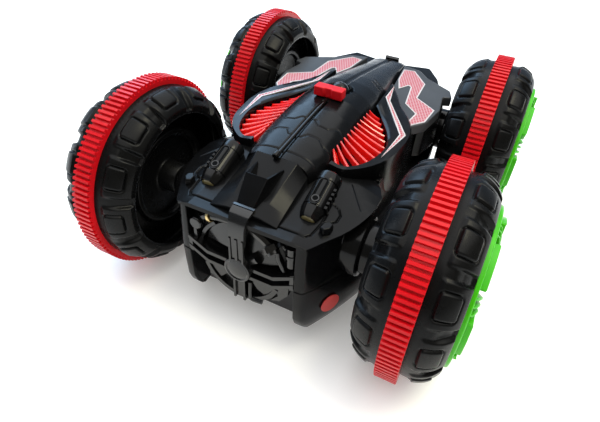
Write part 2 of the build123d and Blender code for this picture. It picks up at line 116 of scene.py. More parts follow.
def decal(name, ink, paper, pitch):
    """Printed sticker: a fine slanted mesh of ink on a pale ground."""
    mat = plastic(name, ink, 0.34, vary=0.05, bump=0.03)
    tree = mat.node_tree
    shader = tree.nodes["Principled BSDF"]
    coord = node(tree, "ShaderNodeTexCoord", -1500, 600)
    split = node(tree, "ShaderNodeSeparateXYZ", -1300, 600)
    tree.links.new(coord.outputs["Object"], split.inputs["Vector"])
    waves = []
    for k, (a, b) in enumerate(((1.0, 0.45), (-0.35, 1.0))):
        across = node(tree, "ShaderNodeMath", -1100, 700 - 200 * k, operation="MULTIPLY")
        across.inputs[1].default_value = a * 2 * pi / pitch[k]
        along = node(tree, "ShaderNodeMath", -1100, 600 - 200 * k, operation="MULTIPLY")
        along.inputs[1].default_value = b * 2 * pi / pitch[k]
        tree.links.new(split.outputs["X"], across.inputs[0])
        tree.links.new(split.outputs["Y"], along.inputs[0])
        both = node(tree, "ShaderNodeMath", -900, 650 - 200 * k, operation="ADD")
        tree.links.new(across.outputs[0], both.inputs[0])
        tree.links.new(along.outputs[0], both.inputs[1])
        wave = node(tree, "ShaderNodeMath", -750, 650 - 200 * k, operation="SINE")
        tree.links.new(both.outputs[0], wave.inputs[0])
        waves.append(wave)
    peak = node(tree, "ShaderNodeMath", -600, 600, operation="MAXIMUM")
    tree.links.new(waves[0].outputs[0], peak.inputs[0])
    tree.links.new(waves[1].outputs[0], peak.inputs[1])
    mask = node(tree, "ShaderNodeMapRange", -450, 600)
    mask.inputs["From Min"].default_value = 0.45
    mask.inputs["From Max"].default_value = 0.8
    tree.links.new(peak.outputs[0], mask.inputs["Value"])
    mix = node(tree, "ShaderNodeMix", -250, 500, data_type="RGBA")
    mix.inputs["A"].default_value = (*ink, 1)
    mix.inputs["B"].default_value = (*paper, 1)
    tree.links.new(mask.outputs["Result"], mix.inputs["Factor"])
    tree.links.new(mix.outputs["Result"], shader.inputs["Base Color"])
    return mat


BLACK = (0.0030, 0.0031, 0.0035)
mats = {
    "hull_black": plastic("hull_satin_black", BLACK, 0.20, bump=0.03, scuff=0.05, gleam=0.10),
    "trim_black": plastic("trim_gloss_black", (0.0034, 0.0034, 0.0037), 0.15, bump=0.04, gleam=0.17),
    "tyre_black": plastic("tyre_satin_black", (0.0031, 0.0032, 0.0034), 0.27, bump=0.12, scuff=0.08,
                          gleam=0.11),
    "ring_red": plastic("ring_red", (0.56, 0.005, 0.010), 0.33, vary=0.10, bump=0.10, gleam=0.22),
    "hub_green": plastic("hub_green", (0.048, 0.44, 0.003), 0.34, vary=0.10, bump=0.10, gleam=0.22),
    "radiator_red": plastic("radiator_red", (0.70, 0.010, 0.008), 0.14, vary=0.2, bump=0.04, coat=0.6),
    "fender_grey": plastic("fender_grey", (0.042, 0.045, 0.050), 0.34, vary=0.12, bump=0.05, gleam=0.25),
    "decal_print": decal("decal_mesh", (0.36, 0.022, 0.045), (0.46, 0.30, 0.31), (0.0019, 0.0022)),
    "decal_line": plastic("decal_white_line", (0.50, 0.48, 0.48), 0.34, vary=0.08, bump=0.03),
    "sticker_red": plastic("sticker_red", (0.55, 0.045, 0.04), 0.42, vary=0.15, bump=0.10),
    # lens_amber keeps its slot name, but its dark warm gold is a painted reflection: the pod tips are black
    # and the gold stands for a warm reflection on them
    "lens_amber": plastic("lens_amber", (0.115, 0.095, 0.042), 0.12, vary=0.15, bump=0.03, coat=0.6),
    "gear_white": plastic("gear_white", (0.70, 0.69, 0.64), 0.42, vary=0.05),
    "case_grey": plastic("case_grey", (0.09, 0.09, 0.095), 0.45),
    "steel": metal("axle_steel", (0.52, 0.52, 0.53), 0.28),
    "motor_can": metal("motor_can", (0.58, 0.58, 0.58), 0.32),
    "screw_steel": metal("screw_steel", (0.38, 0.36, 0.33), 0.35),
    "board_green": plastic("board_green", (0.02, 0.20, 0.07), 0.32, vary=0.12),
    "battery_blue": plastic("battery_blue", (0.02, 0.10, 0.40), 0.26, vary=0.1),
    "brass": metal("brass_ring", (0.62, 0.47, 0.22), 0.30),
    "grille_black": plastic("grille_gloss_black", (0.0034, 0.0034, 0.0037), 0.20, bump=0.04, gleam=0.42),
    # near-black matte sheet that paints the shade inside recesses: the pod slots and eyelet holes
    "painted_shade_black": plastic("painted_cavity_shade", (0.0015, 0.0015, 0.0015), 0.6, gleam=0.03),
}


# ---------------------------------------------------------------- mesh tools

def smoothstep(low, high, value):
    t = min(1.0, max(0.0, (value - low) / (high - low)))
    return t * t * (3 - 2 * t)


def lerp(a, b, t):
    return a + (b - a) * t


def resample(points, count, closed=False):
    """Even steps along a polyline."""
    pts = [Vector(p) for p in points]
    if closed:
        pts.append(pts[0])
    run = [0.0]
    for a, b in zip(pts, pts[1:]):
        run.append(run[-1] + (b - a).length)
    steps = count if closed else count - 1
    found = []
    k = 0
    for i in range(count):
        want = run[-1] * i / steps
        while k < len(pts) - 2 and run[k + 1] < want:
            k += 1
        part = (want - run[k]) / max(1e-9, run[k + 1] - run[k])
        found.append(pts[k].lerp(pts[k + 1], part))
    return found


def soften(points, rounds=2, closed=False):
    """Chaikin corner cutting that keeps the ends."""
    pts = [Vector(p) for p in points]
    for _ in range(rounds):
        new = [] if closed else [pts[0]]
        pairs = list(zip(pts, pts[1:] + ([pts[0]] if closed else [])))
        for a, b in pairs:
            new += [a.lerp(b, 0.25), a.lerp(b, 0.75)]
        if not closed:
            new.append(pts[-1])
        pts = new
    return pts


def curve_through(points, steps):
    """Catmull-Rom curve through the points, as vectors."""
    pts = [Vector(p) for p in points]
    pts = [2 * pts[0] - pts[1]] + pts + [2 * pts[-1] - pts[-2]]
    found = []
    for k in range(1, len(pts) - 2):
        p0, p1, p2, p3 = pts[k - 1:k + 3]
        for i in range(steps):
            t = i / steps
            found.append(0.5 * (2 * p1 + (p2 - p0) * t + (2 * p0 - 5 * p1 + 4 * p2 - p3) * t * t
                                + (3 * p1 - p0 - 3 * p2 + p3) * t ** 3))
    found.append(pts[-2])
    return found


class Solid:
    """Collects closed shells, in millimetres, and makes one object of them."""

    def __init__(self):
        self.verts = []
        self.faces = []

    def add(self, verts, faces):
        base = len(self.verts)
        self.verts += [tuple(v) for v in verts]
        self.faces += [[base + i for i in face] for face in faces]
        return self

    def join(self, other, matrix=None):
        verts = [matrix @ Vector(v) if matrix else v for v in other.verts]
        return self.add(verts, other.faces)

    def rings(self, rings, caps=True, loop=False):
        """Skins a list of closed rings of equal length."""
        count = len(rings[0])
        verts = [v for ring in rings for v in ring]
        faces = []
        spans = len(rings) if loop else len(rings) - 1
        for j in range(spans):
            low, high = j * count, ((j + 1) % len(rings)) * count
            for i in range(count):
                k = (i + 1) % count
                faces.append([low + i, low + k, high + k, high + i])
        if caps and not loop:
            faces.append(list(range(count))[::-1])
            faces.append([(len(rings) - 1) * count + i for i in range(count)])
        return self.add(verts, faces)

    def prism(self, outline, low, high, axis="z"):
        def place(a, b, c):
            return {"z": (a, b, c), "y": (a, c, b), "x": (c, a, b)}[axis]
        return self.rings([[place(a, b, low) for a, b in outline], [place(a, b, high) for a, b in outline]])

    def box(self, x, y, z):
        return self.prism([(x[0], y[0]), (x[1], y[0]), (x[1], y[1]), (x[0], y[1])], z[0], z[1])

    def tube(self, path, radius, sides=16, flat=1.0):
        path = [Vector(p) for p in path]
        rings = []
        normal = None
        for i, p in enumerate(path):
            ahead = (path[min(i + 1, len(path) - 1)] - path[max(i - 1, 0)]).normalized()
            if normal is None:
                normal = ahead.cross(Vector((0.13, 0.31, 0.94))).normalized()
            normal = (normal - ahead * normal.dot(ahead)).normalized()
            other = ahead.cross(normal)
            size = radius[i] if isinstance(radius, (list, tuple)) else radius
            rings.append([p + normal * size * cos(2 * pi * k / sides)
                          + other * size * flat * sin(2 * pi * k / sides)
                          for k in range(sides)])
        return self.rings(rings)

    def lathe(self, profile, steps, axis="x", centre=(0, 0, 0)):
        """Turns a closed profile of (along, radius) points around an axis."""
        c = Vector(centre)
        rings = []
        for i in range(steps):
            a = 2 * pi * i / steps
            ring = []
            for along, radius in profile:
                u, v = radius * cos(a), radius * sin(a)
                p = {"x": (along, u, v), "y": (v, along, u), "z": (u, v, along)}[axis]
                ring.append(c + Vector(p))
            rings.append(ring)
        return self.rings(rings, loop=True)

    def mirrored(self, side):
        if side > 0:
            return self
        other = Solid()
        other.verts = [(-x, y, z) for x, y, z in self.verts]
        other.faces = [face[::-1] for face in self.faces]
        return other

    def object(self, name, slot, body="chassis", replace=(), bevel=0.0, segments=2, smooth=38.0, mat=None,
               subdiv=0,
               limit=32.0):
        mesh = bpy.data.meshes.new(name)
        mesh.from_pydata([(x * MM, y * MM, z * MM) for x, y, z in self.verts], [], self.faces)
        mesh.validate()
        obj = bpy.data.objects.new(name, mesh)
        bpy.context.scene.collection.objects.link(obj)
        fix_normals(mesh)
        mesh.polygons.foreach_set("use_smooth", [True] * len(mesh.polygons))
        mesh.set_sharp_from_angle(angle=radians(smooth))
        mesh.materials.append(mats[mat or slot])
        if bevel:
            add_bevel(obj, bevel, segments, limit)
        if subdiv:
            sub = obj.modifiers.new("subdivision", "SUBSURF")
            sub.levels = sub.render_levels = subdiv
        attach(obj, body)
        if replace:
            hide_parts(*replace)
        return obj


def fix_normals(mesh):
    import bmesh
    work = bmesh.new()
    work.from_mesh(mesh)
    bmesh.ops.recalc_face_normals(work, faces=work.faces)
    work.to_mesh(mesh)
    work.free()
    mesh.update()


def add_bevel(obj, width, segments=2, limit=32.0):
    bevel = obj.modifiers.new("edge_round", "BEVEL")
    bevel.width = width * MM
    bevel.segments = segments
    bevel.limit_method = "ANGLE"
    bevel.angle_limit = radians(limit)
    bevel.use_clamp_overlap = True
    bevel.harden_normals = False
    return bevel


# ---------------------------------------------------------------- wheels

LUGS = 12
LUG_PITCH = 360 / LUGS
MM_PER_DEGREE = 0.84
CROWN_LENGTH = 23.0
LUG_HEIGHT = 0.9
GAP_DEPTH = 1.4
PAD_HALF, PAD_LOW, PAD_HIGH, PAD_CORNER = 5.4, 5.6, 15.8, 1.6
PAD_HEIGHT = 0.55
GROOVE_DEPTH = 0.8
GROOVE_REACH = 0.42
CROWN_SAMPLES = 52
TYRE_STEPS = 720
TYRE_REACH = 21.0
HUB_SECTORS = 6
SECTOR_ANGLE = 360 / HUB_SECTORS
ARCH_HALF_ANGLE = 17
ARCH_STEPS = 8
CROWN_EDGE = [(16.6, 46.9), (19.2, 44.0), (20.6, 41.6), (21.0, 40.3)]
OUTER_CROWN = [(5.0, 49.9), (9.0, 50.0), (13.0, 49.0)] + CROWN_EDGE
INNER_CROWN = [(5.0, 51.0), (9.0, 50.3), (13.0, 49.0)] + CROWN_EDGE


def tread_relief(angle, s):
    """Height in mm of the moulded tread at an angle in degrees and a share s of the crown, 0 at the ring."""
    phi = (angle + LUG_PITCH / 2) % LUG_PITCH - LUG_PITCH / 2
    across = abs(phi * MM_PER_DEGREE)
    along = s * CROWN_LENGTH
    gap = smoothstep(9.0, 10.8, across)
    fade = 1 - smoothstep(0.94, 1.0, s)
    height = LUG_HEIGHT * (1 - gap) * smoothstep(3.6, 6.6, along) * fade
    height -= GAP_DEPTH * gap * smoothstep(8.0, 15.0, along) * fade
    dx = across - (PAD_HALF - PAD_CORNER)
    dy = abs(along - (PAD_LOW + PAD_HIGH) / 2) - ((PAD_HIGH - PAD_LOW) / 2 - PAD_CORNER)
    edge = hypot(max(dx, 0.0), max(dy, 0.0)) + min(max(dx, dy), 0.0) - PAD_CORNER
    height += PAD_HEIGHT * (1 - smoothstep(-0.6, 0.0, edge))
    height -= GROOVE_DEPTH * exp(-((edge - GROOVE_REACH) / GROOVE_REACH) ** 2)
    return height


def tyre(inboard):
    outline = INNER_CROWN if inboard else OUTER_CROWN
    curve = curve_through([(u, r, 0) for u, r in outline], 12)
    crown = resample([(p.x, p.y, 0) for p in curve], CROWN_SAMPLES)
    lip = [(20.7, 39.2), (20.1, 38.7), (19.3, 38.7), (18.9, 39.4)]
    lining = [(18.6, 41.0), (17.0, 43.4), (13.0, 45.4), (9.4, 46.0), (8.3, 45.4), (8.0, 44.2)]
    if inboard:
        web = [(8.0, 30.5), (8.4, 28.6), (9.0, 28.1), (11.6, 28.0), (12.1, 27.5), (12.1, 25.6),
               (11.7, 25.0), (9.0, 24.9),
               (8.4, 24.4), (8.0, 22.0), (8.0, 11.5), (8.6, 9.6), (9.6, 9.0), (19.2, 8.8), (19.9,
                                                                                            8.2), (20.0, 7.4),
               (20.0, 3.2), (19.6, 2.6)]
    else:
        web = [(8.0, 20.0), (8.0, 2.6)]
    plain = lip + lining + web + [(5.0, 2.6)]
    rings = []
    for i in range(TYRE_STEPS):
        degrees_round = 360.0 * i / TYRE_STEPS
        a = radians(degrees_round)
        ring = []
        for k, p in enumerate(crown):
            s = k / (len(crown) - 1)
            ahead = crown[min(k + 1, len(crown) - 1)]
            back = crown[max(k - 1, 0)]
            normal = Vector((-(ahead.y - back.y), ahead.x - back.x, 0)).normalized()
            if normal.y < 0:
                normal = -normal
            lift = tread_relief(degrees_round, s)
            u, r = p.x + normal.x * lift, p.y + normal.y * lift
            ring.append((min(u, TYRE_REACH), r * cos(a), r * sin(a)))
        for u, r in plain:
            ring.append((u, r * cos(a), r * sin(a)))
        rings.append(ring)
    part = Solid().rings(rings, loop=True)
    return part.mirrored(-1) if inboard else part


def hub():
    part = Solid()
    rim = [(21.0, 39.2), (22.6, 39.2), (23.1, 38.8), (23.1, 37.4), (22.7, 37.0), (22.0, 36.8), (22.0, 22.0),
           (22.5, 21.2),
           (22.5, 19.6), (22.0, 18.8), (22.0, 10.0), (24.6, 9.2), (25.0, 8.4), (25.0, 3.0), (24.4,
                                                                                             2.4), (21.0,
                                                                                                    2.4)]
    part.lathe(rim, 160)
    for k in range(HUB_SECTORS):
        base = SECTOR_ANGLE * k
        for low, high, tall in ((33.4, 34.4, 25.9), (23.8, 24.7, 25.5)):
            rings = []
            for i in range(ARCH_STEPS + 1):
                a = radians(base - ARCH_HALF_ANGLE + 2 * ARCH_HALF_ANGLE * i / ARCH_STEPS)
                rings.append([(x, r * cos(a), r * sin(a)) for x,
                              r in ((21.8, low), (21.8, high), (tall, high), (tall, low))])
            part.rings(rings)
        for angle in (-ARCH_HALF_ANGLE, ARCH_HALF_ANGLE):
            turn = Matrix.Rotation(radians(base + angle), 4, "X")
            part.join(Solid().box((21.8, 25.7), (24.0, 34.2), (-0.55, 0.55)), turn)
        for lean in (-1, 1):
            a, b = radians(base - 16 * lean), radians(base)
            p, q = (24.6 * cos(a), 24.6 * sin(a)), (33.6 * cos(b), 33.6 * sin(b))
            away = Vector((q[0] - p[0], q[1] - p[1], 0)).normalized()
            side_way = Vector((-away.y, away.x, 0)) * 0.5
            brace = [(p[0] + side_way.x, p[1] + side_way.y), (q[0] + side_way.x, q[1] + side_way.y),
                     (q[0] - side_way.x, q[1] - side_way.y), (p[0] - side_way.x, p[1] - side_way.y)]
            part.prism(brace, 21.8, 25.0, axis="x")
        for angle in (24, 30, 36):
            turn = Matrix.Rotation(radians(base + angle), 4, "X")
            fin = Solid().prism([(21.8, 14.0), (25.0, 22.0), (26.0, 28.0), (24.6, 34.0), (21.8, 37.0)],
                                -0.55, 0.55)
            part.join(fin, turn)
    return part


def place(part, side, end):
    x, y = TRACK, end * BASE
    moved = Solid()
    moved.verts = [(a + x, b + y, c + WHEEL_Z) for a, b, c in part.verts]
    moved.faces = part.faces
    return moved.mirrored(side)


tyre_parts = {"inner_tyre": tyre(True), "outer_tyre": tyre(False)}
hub_part = hub()
for end_name, end in ENDS:
    for side_name, side in SIDES:
        wheel = f"{end_name}_{side_name}"
        for kind, part in tyre_parts.items():
            place(part, side, end).object(f"{wheel}_{kind}_moulded", "tyre_black", f"{wheel}_wheel",
                                          (f"{wheel}_{kind}",), smooth=60)
        place(hub_part, side, end).object(f"{wheel}_paddle_hub_moulded", "hub_green", f"{wheel}_wheel",
                                          (f"{wheel}_paddle_hub",), bevel=0.25, smooth=35)


# ---------------------------------------------------------------- hull walls

POCKET = 29.2
FLOOR = [(POCKET, -99.3), (34.6, -99.3), (36.0, -97.4), (44.0, -79), (52.0, -56), (53, -30), (53, 30),
         (52.0, 56), (44.0, 84), (32, 107), (30.8, 108.2), (POCKET, 108.4)]
CHINE = [(POCKET, -106.5), (33.6, -106.3), (35.2, -104.6), (46.3, -85), (54, -60), (54.5, -30), (54.5, 30),
         (54, 60), (46.5, 88), (32, 112.6), (30.8, 113.9), (POCKET, 114)]
SEAM = [(POCKET, -107.6), (33.4, -107.4), (35.0, -105.8), (46.0, -87), (54.5, -62), (55.5, -30), (55.5, 30),
        (54.5, 62), (46, 90), (32, 114.9), (30.8, 116.5), (POCKET, 117)]
CHEEK_LOW = [(POCKET, -107.6), (33.4, -107.4), (34.9, -105.8), (41.5, -93), (44.0, -80), (44.5, -58),
             (46.5, -40),
             (48.5, -10), (47.0, 16), (46.5, 40), (46, 90), (32, 114.9), (30.6, 116.5), (POCKET, 117)]
CHEEK_HIGH = [(POCKET, -107.2), (33.0, -107.0), (34.3, -105.6), (38.5, -97), (42.0, -84), (43.5, -58),
              (45.5, -40),
              (47.9, -10), (46.5, 16), (46.0, 40), (45.5, 90), (31, 114.2), (30, 115.6), (POCKET, 116)]


def plan(points, z, rounds=2, count=150, inset=0.0):
    path = resample(soften([(x, y, 0) for x, y in points], rounds), count)
    ring = []
    for i, p in enumerate(path):
        ahead = path[min(i + 1, count - 1)] - path[max(i - 1, 0)]
        normal = Vector((ahead.y, -ahead.x, 0)).normalized()
        if inset:
            p = p - normal * inset
        ring.append(Vector((p.x, p.y, z)))
    return ring


def wall(levels, thickness):
    """A standing wall between levels of (outline, height); each level is one ring out and back."""
    part = Solid()
    outer = [plan(points, z) for points, z in levels]
    inner = [plan(points, z, inset=thickness) for points, z in levels]
    rows = outer + inner[::-1]
    count = len(outer[0])
    rings = [[row[i] for row in rows] for i in range(count)]
    return part.rings(rings)


def blend_outline(a, b, t):
    return [(lerp(p[0], q[0], t), lerp(p[1], q[1], t)) for p, q in zip(a, b)]


lower = Solid()
for side in (1, -1):
    levels = [(blend_outline(FLOOR, CHINE, -0.02), 14.0), (blend_outline(FLOOR, CHINE, 0.25), 15.2),
              (blend_outline(FLOOR, CHINE, 0.7), 20.0), (CHINE, 26.0), (blend_outline(CHINE, SEAM, 0.6),
                                                                        36.0),
              (SEAM, 46.8)]
    lower.join(wall(levels, 2.2).mirrored(side))
floor_edge = [p for p in plan(FLOOR, 0)]
floor_ring = [(POCKET, -94.0)] + [(p.x - 0.4, p.y) for p in floor_edge] + [(POCKET, 104.0)]
lower.prism(floor_ring + [(-x, y) for x, y in floor_ring[::-1]], 14.05, 16.2)
for end in (-1, 1):
    def shift(y):
        return y if end < 0 else 8.0 - y
    panel = [(shift(-100.8), 47.0), (shift(-98.6), 47.0), (shift(-92.2), 14.1), (shift(-94.4), 14.1)]
    lower.prism(panel, -POCKET - 0.4, POCKET + 0.4, axis="x")
    for side in (1, -1):
        cheek = [(shift(-107.3), 46.8), (shift(-106.3), 26.0), (shift(-99.4), 15.0), (shift(-93.0), 15.0),
                 (shift(-99.0), 46.8)]
        lower.prism(cheek, *sorted((POCKET * side, (POCKET + 2.0) * side)), axis="x")
for side in (-1, 1):
    edge = sorted((side * 25.3, side * 27.5))
    lip = sorted((side * 23.0, side * 27.5))
    lower.box(edge, (-66, -2), (10.7, 14.2))
    lower.box(lip, (-66, -2), (10.7, 11.7))
lower.box((-32, 32), (68, 98), (13.6, 14.4))
lower.object("bottom_shell_moulded", "hull_black", replace=("bottom_shell",), bevel=0.5)

ledge = Solid()
for side in (1, -1):
    outer = plan(SEAM, 47.0, inset=0.2)
    inner = plan(CHEEK_LOW, 47.0, inset=1.6)
    rings = []
    for a, b in zip(outer, inner):
        rings.append([(a.x, a.y, 46.9), (a.x, a.y, 48.4), (b.x, b.y, 48.6), (b.x, b.y, 46.9)])
    ledge.join(Solid().rings(rings).mirrored(side))
for side in (1, -1):
    levels = [(CHEEK_LOW, 47.2), (CHEEK_LOW, 52), (blend_outline(CHEEK_LOW, CHEEK_HIGH, 0.5), 62),
              (blend_outline(CHEEK_LOW, CHEEK_HIGH, 0.9), 71), (CHEEK_HIGH, 75.2)]
    ledge.join(wall(levels, 2.0).mirrored(side))
for end in (-1, 1):
    for side in (1, -1):
        ys = sorted((-107.1, -100.6)) if end < 0 else sorted((115.1, 108.6))
        ledge.box(sorted((POCKET * side, (POCKET + 2.0) * side)), ys, (47.2, 76.0))
    ys = (-101.4, -99.4) if end < 0 else (107.4, 109.4)
    ledge.box((-POCKET - 0.4, POCKET + 0.4), ys, (47.2, 76.4))
rear_edge = [(p.x - 0.2, p.y) for p in plan(CHEEK_HIGH, 0) if p.y > -44]
rear_ring = [(0.0, rear_edge[0][1])] + rear_edge + [(0.0, 109.0)]
for side in (1, -1):
    ledge.join(Solid().prism(rear_ring, 74.8, 76.7).mirrored(side))
ledge.object("top_shell_walls", "hull_black", replace=("top_shell",), bevel=0.35)

# ---------------------------------------------------------------- deck, hood and spine

DECK_EDGE = [(32.8, -107.6), (34.4, -107.0), (38.8, -98.9), (44.8, -88.8), (48.6, -77.7), (50.7, -67.4),
             (50.4, -52.5), (39.2, -38.7)]


def hood_height(y):
    """Top of the hood beside the raised middle."""
    ridge = 77.6 + 6.4 * smoothstep(-106, -50, y)
    return ridge


def seam_cut(distance, width=0.40, depth=0.75):
    return depth * exp(-(distance / width) ** 2)


def segment_distance(x, y, a, b):
    px, py = b[0] - a[0], b[1] - a[1]
    t = ((x - a[0]) * px + (y - a[1]) * py) / (px * px + py * py)
    t = min(1.0, max(0.0, t))
    return hypot(x - a[0] - t * px, y - a[1] - t * py)


def path_distance(x, y, path):
    return min(segment_distance(x, y, a, b) for a, b in zip(path, path[1:]))


PANEL_SEAM = [(17.0, -101.5), (30.4, -101.2), (32.2, -98.6), (33.2, -90.0), (33.0, -84.0)]
TAB_SEAM = [(33.5, -89.0), (36.5, -88.2), (38.6, -85.2), (38.8, -80.8), (36.6, -77.8), (33.6, -77.0)]
RIB_SEAM = [(36.0, -59.0), (45.5, -71.5)]


def deck(side):
    part = Solid()
    outer = resample(soften([(x, y, 0) for x, y in DECK_EDGE], 1), 210)
    inner_x = 0.0
    across = 140
    top, under = [], []
    for p in outer:
        row, low = [], []
        for k in range(across + 1):
            t = k / across
            y_in = lerp(-107.3, -40.0, (p.y + 107.3) / (107.3 - 38.7))
            x = lerp(inner_x, p.x, t)
            y = lerp(y_in, p.y, t)
            rise = hood_height(y)
            z = lerp(rise, 76.0, max(0.0, x - 27.0) / max(1.0, p.x - 27.0))
            cut = max(seam_cut(path_distance(x, y, seam)) for seam in (PANEL_SEAM, TAB_SEAM))
            cut = max(cut, 0.4 * seam_cut(path_distance(x, y, RIB_SEAM)))
            row.append((x, y, z - cut))
            low.append((x, y, min(z - 1.1, 75.2)))
        top.append(row)
        under.append(low)
    rings = [row + low[::-1] for row, low in zip(top, under)]
    part.rings(rings)
    return part.mirrored(side)


for side_name, side in SIDES:
    deck(side).object(f"{side_name}_hood_deck", "hull_black", smooth=50)
    block = Solid()
    corners = [(36.8, -96.4), (39.2, -93.8), (39.4, -90.6), (37.0, -88.8), (34.6, -91.4), (34.4, -95.0)]
    block.rings([[(x, y, 74.5) for x, y in corners],
                 [(x, y, 79.2) for x, y in corners],
                 [(lerp(x, 36.9, 0.18), lerp(y, -92.6, 0.18), 80.2) for x, y in corners]])
    block.mirrored(side).object(f"{side_name}_deck_block", "hull_black", bevel=0.3)


def hood_plane(y):
    return lerp(78.6, 91.4, (y + 105.5) / 34.5)


hood = Solid()
rings = []
for k in range(25):
    t = k / 24
    y = lerp(-103.4, -71.4, t)
    z = hood_plane(y) + 0.7
    half, ridge = lerp(17.6, 17.0, t), lerp(8.4, 11.2, t)
    rings.append([(half + 0.6, y, 75.5), (half, y, lerp(78.2, 85.4, t)), (ridge, y, z), (-ridge, y, z),
                  (-half, y, lerp(78.2, 85.4, t)), (-half - 0.6, y, 75.5)])
hood.rings(rings)
hood.object("hood_middle", "hull_black", bevel=0.3, smooth=20, limit=20.0)

SPINE = [
    (-71.4, 17.6, 91.9), (-66, 20.0, 92.6), (-55, 22.4, 94.0), (-40, 23.0, 95.8), (-25, 23.2, 97.3),
    (-10, 23.2, 98.0),
    (5, 22.8, 97.6), (20, 22.0, 96.0), (35, 20.6, 93.6), (50, 18.8, 90.8), (65, 16.6, 88.0), (80, 14.8, 85.2),
    (95, 13.2, 82.2), (106, 12.2, 80.0), (112, 11.6, 78.2),
]


def spine_at(y):
    for a, b in zip(SPINE, SPINE[1:]):
        if y <= b[0]:
            t = (y - a[0]) / (b[0] - a[0])
            return lerp(a[1], b[1], t), lerp(a[2], b[2], t)
    return SPINE[-1][1], SPINE[-1][2]


SPINE_SEAMS = [
    [(-40, -65.5), (40, -65.5)],
    [(-40, -52.0), (-15.5, -52.0), (-12.0, -49.0), (-6.0, -49.0), (-3.4, -52.5), (3.4, -52.5), (6.0, -49.0),
     (12.0, -49.0), (15.5, -52.0), (40, -52.0)],
    [(-40, -35.0), (-16.0, -35.0), (-12.5, -39.5), (-7.0, -39.5), (-4.0, -36.0), (-1.8, -36.0)],
    [(1.8, -36.0), (4.0, -36.0), (7.0, -39.5), (12.5, -39.5), (16.0, -35.0), (40, -35.0)],
    [(10.5, 34), (15.0, 30), (20, 31)],
    [(10.5, 39), (15.0, 35), (20, 36)],
    [(-10.5, 34), (-15.0, 30), (-20, 31)],
    [(-10.5, 39), (-15.0, 35), (-20, 36)],
]


def spine_body():
    part = Solid()
    steps_y, steps_a = 380, 112
    rings = []
    for j in range(steps_y + 1):
        y = lerp(-71.4, 112.0, j / steps_y)
        half, top = spine_at(y)
        base = 77.0 + 5.0 * (1 - smoothstep(-71, -60, y))
        base = min(base, top - 3)
        ring = []
        for i in range(steps_a + 1):
            a = lerp(-1.0, 1.0, i / steps_a)
            x = half * sin(a * pi / 2 * 0.98)
            drop = 1 - cos(a * pi / 2)
            z = top - (top - base) * (0.78 * drop ** 1.35 + 0.22 * drop ** 5)
            cut = 0.0
            for seam in SPINE_SEAMS:
                if min(p[1] for p in seam) - 2 < y < max(p[1] for p in seam) + 2:
                    cut = max(cut, seam_cut(path_distance(x, y, seam), 0.32, 0.55))
            groove = 1.55 * exp(-(x / 1.45) ** 4) if (y < -15.5 or y > 10) else 0.0
            if y > 10:
                groove *= 0.55 * smoothstep(10, 13, y)
            bowl = hypot(x / 8.6, (y - 4.0) / 9.0)
            dish = 3.4 * (1 - smoothstep(0.88, 1.0, bowl))
            ring.append((x, y, z - cut - max(groove, dish)))
        ring += [(half * 0.7, y, base - 1.0), (-half * 0.7, y, base - 1.0)]
        rings.append(ring)
    return part.rings(rings)


spine_body().object("spine_cover_moulded", "hull_black", replace=("spine_cover",), smooth=55)

dome = Solid()
rings = []
for k in range(10):
    a = k / 9 * pi / 2
    rings.append([(6.2 * cos(a) * cos(2 * pi * i / 40), 4.6 + 6.2 * cos(a) * sin(2 * pi * i / 40),
                   94.0 + 6.6 * sin(a))
                  for i in range(40)][:40] if k < 9 else
                 [(0.15 * cos(2 * pi * i / 40), 4.6 + 0.15 * sin(2 * pi * i / 40), 100.6) for i in range(40)])
dome.rings(rings)
dome.object("dome_cap", "trim_black", smooth=60)

rod = Solid()
rod.tube([(0, -74.0, 93.2), (0, -73.4, 93.3), (0, -70.6, 93.5)], [1.3, 1.7, 1.7], 24)
rod.tube([(0, -71.0, 93.0), (0, -62.5, 93.7), (0, -40.0, 95.8), (0, -14.4, 97.7)], 1.0, 20)
rod.object("spine_rod_moulded", "trim_black", replace=("spine_rod",), bevel=0.2)

switch = Solid()
profile = [(-8.5, -14.0), (-2.6, -14.0), (-1.8, -13.2), (1.8, -13.2), (2.6, -14.0), (8.5, -14.0),
           (8.5, -7.5), (-8.5, -7.5)]
switch.rings([[(x, y, 98.4) for x, y in profile], [(x, y, 103.9) for x, y in profile]])
switch.box((-2.5, 2.5), (-12.4, -9.0), (90, 99))
switch.object("power_switch_moulded", "ring_red", "power_switch", ("power_switch",), bevel=1.2, segments=4)

# ---------------------------------------------------------------- nose clip and strap

clip = Solid()
clip.rings([[(4.6, -101.6, 79.0), (4.4, -100.8, 82.6), (-4.4, -100.8, 82.6), (-4.6, -101.6, 79.0)],
            [(7.6, -90.6, 82.6), (5.8, -90.6, 92.8), (-5.8, -90.6, 92.8), (-7.6, -90.6, 82.6)]])
for side in (1, -1):
    fin = Solid()
    fin.rings([[(7.6, -91.2, 82.0), (5.8, -90.9, 92.6), (3.6, -90.7, 91.5), (3.2, -90.7, 82.0)],
               [(8.4, -78.0, 88.0), (7.2, -77.6, 90.6), (6.8, -77.6, 90.4), (6.8, -78.0, 88.0)]])
    clip.join(fin.mirrored(side))
clip.object("nose_clip_moulded", "hull_black", replace=("nose_clip",), bevel=0.35)

# ---------------------------------------------------------------- pods

POD_REAR = Vector((27.0, -66.5, 86.4))
POD_FRONT = Vector((27.0, -91.6, 77.6))


